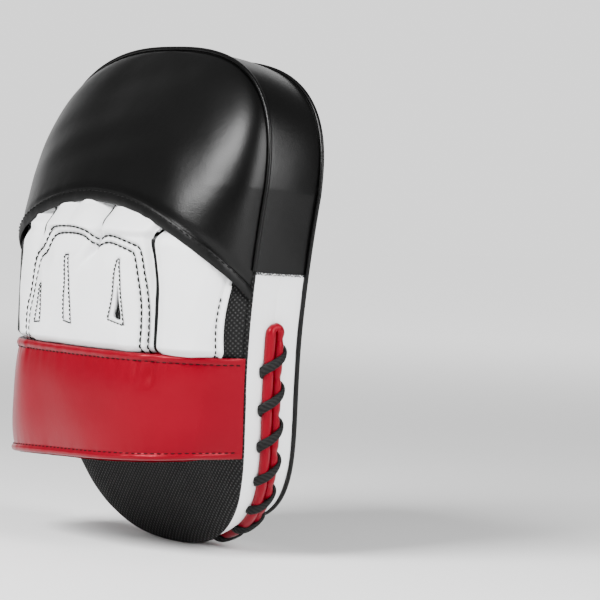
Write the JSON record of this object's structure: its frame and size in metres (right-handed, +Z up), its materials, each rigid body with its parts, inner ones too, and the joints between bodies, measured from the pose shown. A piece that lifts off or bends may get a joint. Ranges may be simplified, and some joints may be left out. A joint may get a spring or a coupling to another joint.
{
  "type": "focus mitt",
  "caption": "Left-hand curved focus mitt: laced egg-shaped foam pad, finger hood, padded glove and wrist strap that opens on its sewn seam.",
  "frame": {"origin": "middle of the palm's place on the pad's back surface", "axes": "+Z up along the fingers, +Y forward through the striking face, +X to the thumb side"},
  "size_m": [0.198, 0.1102, 0.267],
  "materials": {
    "black_leather": "glossy synthetic leather with a fine grain",
    "white_leather": "smooth white synthetic leather",
    "red_leather": "glossy red synthetic leather",
    "black_mesh": "black spacer mesh with small round holes",
    "silver_print": "flat silver printed film",
    "thread": "twisted nylon thread",
    "lace": "flat black cord",
    "strike_foam": "soft cut foam",
    "shock_foam": "dense cut foam",
    "back_foam": "firm cut foam",
    "lining": "knitted lining",
    "black_lining": "knitted black lining",
    "hook_loop": "hook and loop tape"
  },
  "bodies": {
    "mitt": {"face_cover": "black_leather", "target_dot": "silver_print", "face_stitching": "thread", "front_piping": "black_leather", "back_piping": "black_leather", "upper_gusset": "black_leather", "lower_gusset_front": "white_leather", "lower_gusset_back": "white_leather", "lace_welt": "red_leather", "lace": "lace", "strike_foam": "strike_foam", "shock_foam": "shock_foam", "back_foam": "back_foam", "back_panel": "black_mesh", "finger_hood": "black_leather", "hood_hem": "black_leather", "pinky_stall": "white_leather", "ring_stall": "white_leather", "middle_stall": "white_leather", "index_stall": "white_leather", "thumb_stall": "white_leather", "knuckle_panel": "white_leather", "vent_mesh": "black_mesh", "thumb_panel": "white_leather", "thumb_panel_hem": "white_leather", "side_mesh": "black_mesh", "pinky_side_panel": "black_leather", "glove_lining": "lining", "palm_lining": "black_lining", "strap_anchor": "red_leather", "strap_tab": "black_leather", "strap_loop_patch": "hook_loop"},
    "wrist_strap": {"strap_shell": "red_leather", "strap_padding": "back_foam", "strap_lining": "black_lining", "strap_hem_top": "red_leather", "strap_hem_bottom": "red_leather", "strap_hook_patch": "hook_loop"}
  },
  "joints": [
    {"name": "wrist_strap_seam", "type": "hinge", "parent": "mitt", "child": "wrist_strap", "pos_m": [0.08, -0.005, -0.055], "axis": [0, 0, 1], "range_deg": [0, 100]}
  ]
}
